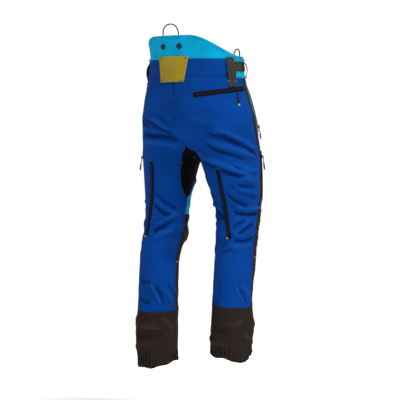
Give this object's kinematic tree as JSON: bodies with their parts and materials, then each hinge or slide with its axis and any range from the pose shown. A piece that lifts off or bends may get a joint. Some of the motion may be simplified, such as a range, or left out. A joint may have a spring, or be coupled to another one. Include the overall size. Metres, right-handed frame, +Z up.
{
  "type": "chainsaw protective trousers",
  "caption": "Chainsaw protective trousers with raised back yoke, belt loops, brace buttons, zipped vents and pockets, crotch gusset, cut-protection pads and ripstop cuffs.",
  "frame": {"origin": "centre of the waist opening at the height of the waist line, between waistband and yoke", "axes": "+Z up out of the waist, +X to the wearer's left, +Y to the wearer's back; the wearer faces -Y"},
  "size_m": [0.4618, 0.323, 1.2321],
  "materials": {
    "turquoise_cloth": "matt woven stretch",
    "blue_cloth": "matt woven stretch",
    "dark_ripstop": "matt ripstop with a raised grid",
    "black_cloth": "smooth stretch knit",
    "pad_cloth": "layered cut-protection fibre",
    "ochre_patch": "matt coated fabric",
    "ochre_webbing": "woven webbing",
    "brown_webbing": "woven webbing",
    "cord": "braided cord with flecks",
    "button": "moulded",
    "zip_tape": "zip tape and coil",
    "zip_slider": "black enamel",
    "zip_pull": "cord and moulded grip",
    "snap_metal": "brushed"
  },
  "bodies": {
    "trousers": {"back_panel_left": "blue_cloth", "back_panel_right": "blue_cloth", "back_patch": "ochre_patch", "back_pocket_zip": "zip_tape", "back_yoke": "turquoise_cloth", "belt_loop_back_left": "brown_webbing", "belt_loop_back_right": "brown_webbing", "belt_loop_front_left": "ochre_webbing", "belt_loop_front_right": "ochre_webbing", "brace_button_back_left": "button", "brace_button_back_right": "button", "brace_button_front_left": "button", "brace_button_front_right": "button", "cord_loop_back": "cord", "cord_loop_left": "cord", "cord_loop_right": "cord", "cuff_left": "dark_ripstop", "cuff_right": "dark_ripstop", "fly_zip": "zip_tape", "front_thigh_left": "turquoise_cloth", "front_thigh_right": "turquoise_cloth", "gusset": "black_cloth", "hand_left_zip": "zip_tape", "hand_right_zip": "zip_tape", "saw_pad_left": "pad_cloth", "saw_pad_right": "pad_cloth", "shin_front_left": "dark_ripstop", "shin_front_right": "dark_ripstop", "side_strip_left": "dark_ripstop", "side_strip_right": "dark_ripstop", "thigh_left_zip": "zip_tape", "thigh_right_zip": "zip_tape", "vent_left_zip": "zip_tape", "vent_right_zip": "zip_tape", "waist_side_left": "turquoise_cloth", "waist_side_right": "turquoise_cloth", "waistband_back": "blue_cloth", "waistband_front_left": "blue_cloth", "waistband_front_right": "blue_cloth"},
    "back_pocket_slider": {"back_pocket_slider": "zip_slider"},
    "back_pocket_pull": {"back_pocket_pull": "zip_pull"},
    "vent_left_slider": {"vent_left_slider": "zip_slider"},
    "vent_left_pull": {"vent_left_pull": "zip_pull"},
    "vent_right_slider": {"vent_right_slider": "zip_slider"},
    "vent_right_pull": {"vent_right_pull": "zip_pull"},
    "thigh_left_slider": {"thigh_left_slider": "zip_slider"},
    "thigh_left_pull": {"thigh_left_pull": "zip_pull"},
    "thigh_right_slider": {"thigh_right_slider": "zip_slider"},
    "thigh_right_pull": {"thigh_right_pull": "zip_pull"},
    "hand_left_slider": {"hand_left_slider": "zip_slider"},
    "hand_left_pull": {"hand_left_pull": "zip_pull"},
    "hand_right_slider": {"hand_right_slider": "zip_slider"},
    "hand_right_pull": {"hand_right_pull": "zip_pull"},
    "fly_slider": {"fly_slider": "zip_slider"},
    "fly_pull": {"fly_pull": "zip_pull"},
    "side_adjuster_left": {"side_adjuster_left": "brown_webbing"},
    "side_adjuster_right": {"side_adjuster_right": "brown_webbing"},
    "waist_tab": {"waist_tab": "blue_cloth", "waist_snap": "snap_metal"}
  },
  "joints": [
    {"name": "back_pocket_zip_slide", "type": "hinge", "parent": "trousers", "child": "back_pocket_slider", "pos_m": [-0.04951, -0.00033, -0.11795], "axis": [0.0799, 0.101, 0.9917], "range_deg": [-58.57, 9.89]},
    {"name": "back_pocket_pull_swing", "type": "hinge", "parent": "back_pocket_slider", "child": "back_pocket_pull", "pos_m": [-0.19888, 0.02924, -0.10802], "axis": [0.2111, 0.9775, 0], "range_deg": [0, 150]},
    {"name": "vent_left_zip_slide", "type": "hinge", "parent": "trousers", "child": "vent_left_slider", "pos_m": [0.54197, 0.76181, -0.48338], "axis": [0.849, -0.5136, 0.1244], "range_deg": [-16.72, 0.38]},
    {"name": "vent_left_pull_swing", "type": "hinge", "parent": "vent_left_slider", "child": "vent_left_pull", "pos_m": [0.15547, 0.09574, -0.60919], "axis": [0.9743, -0.2254, 0], "range_deg": [0, 150]},
    {"name": "vent_right_zip_slide", "type": "hinge", "parent": "trousers", "child": "vent_right_slider", "pos_m": [-0.37613, 0.60701, -0.53903], "axis": [0.9158, 0.3643, -0.1692], "range_deg": [-19.25, 0.44]},
    {"name": "vent_right_pull_swing", "type": "hinge", "parent": "vent_right_slider", "child": "vent_right_pull", "pos_m": [-0.16431, 0.04281, -0.61531], "axis": [0.9914, 0.1309, 0], "range_deg": [0, 150]},
    {"name": "thigh_left_zip_slide", "type": "hinge", "parent": "trousers", "child": "thigh_left_slider", "pos_m": [-0.16413, 0.69448, -0.42047], "axis": [0.8709, 0.4876, -0.0613], "range_deg": [-0.24, 10.74]},
    {"name": "thigh_left_pull_swing", "type": "hinge", "parent": "thigh_left_slider", "child": "thigh_left_pull", "pos_m": [0.2118, 0.04429, -0.34646], "axis": [0.3855, -0.9227, 0], "range_deg": [0, 150]},
    {"name": "thigh_right_zip_slide", "type": "hinge", "parent": "trousers", "child": "thigh_right_slider", "pos_m": [-0.22016, 0.79734, -0.42589], "axis": [0.9998, -0.0004, -0.0198], "range_deg": [-0.21, 9.06]},
    {"name": "thigh_right_pull_swing", "type": "hinge", "parent": "thigh_right_slider", "child": "thigh_right_pull", "pos_m": [-0.22421, -0.09436, -0.34563], "axis": [-0.4358, 0.9, 0], "range_deg": [0, 150]},
    {"name": "hand_left_zip_slide", "type": "hinge", "parent": "trousers", "child": "hand_left_slider", "pos_m": [-0.23426, 0.06074, -0.26717], "axis": [0.2699, 0.928, 0.2569], "range_deg": [-17.97, 0.41]},
    {"name": "hand_left_pull_swing", "type": "hinge", "parent": "hand_left_slider", "child": "hand_left_pull", "pos_m": [0.1999, -0.07522, -0.23951], "axis": [-0.5761, -0.8174, 0], "range_deg": [0, 150]},
    {"name": "hand_right_zip_slide", "type": "hinge", "parent": "trousers", "child": "hand_right_slider", "pos_m": [0.36011, -0.22073, -0.36402], "axis": [-0.2156, -0.9762, 0.0254], "range_deg": [-13.61, 0.31]},
    {"name": "hand_right_pull_swing", "type": "hinge", "parent": "hand_right_slider", "child": "hand_right_pull", "pos_m": [-0.2065, -0.09688, -0.23779], "axis": [-0.6054, 0.7959, 0], "range_deg": [0, 150]},
    {"name": "fly_zip_slide", "type": "hinge", "parent": "trousers", "child": "fly_slider", "pos_m": [-0.00565, 0.21499, -0.17061], "axis": [1, 0.0045, 0.0002], "range_deg": [-0.23, 20.68]},
    {"name": "fly_pull_swing", "type": "hinge", "parent": "fly_slider", "child": "fly_pull", "pos_m": [-0.00402, -0.159, -0.08124], "axis": [-1, 0.0007, 0], "range_deg": [0, 150]},
    {"name": "side_adjuster_left_peel", "type": "hinge", "parent": "trousers", "child": "side_adjuster_left", "pos_m": [0.17901, 0.01736, 0.00002], "axis": [0, 0, 1], "range_deg": [0, 60]},
    {"name": "side_adjuster_right_peel", "type": "hinge", "parent": "trousers", "child": "side_adjuster_right", "pos_m": [-0.17901, 0.01736, 0.00006], "axis": [0, 0, -1], "range_deg": [0, 60]},
    {"name": "waist_tab_open", "type": "hinge", "parent": "trousers", "child": "waist_tab", "pos_m": [0.01766, -0.1446, 0.00002], "axis": [0, 0, 1], "range_deg": [0, 85]}
  ]
}
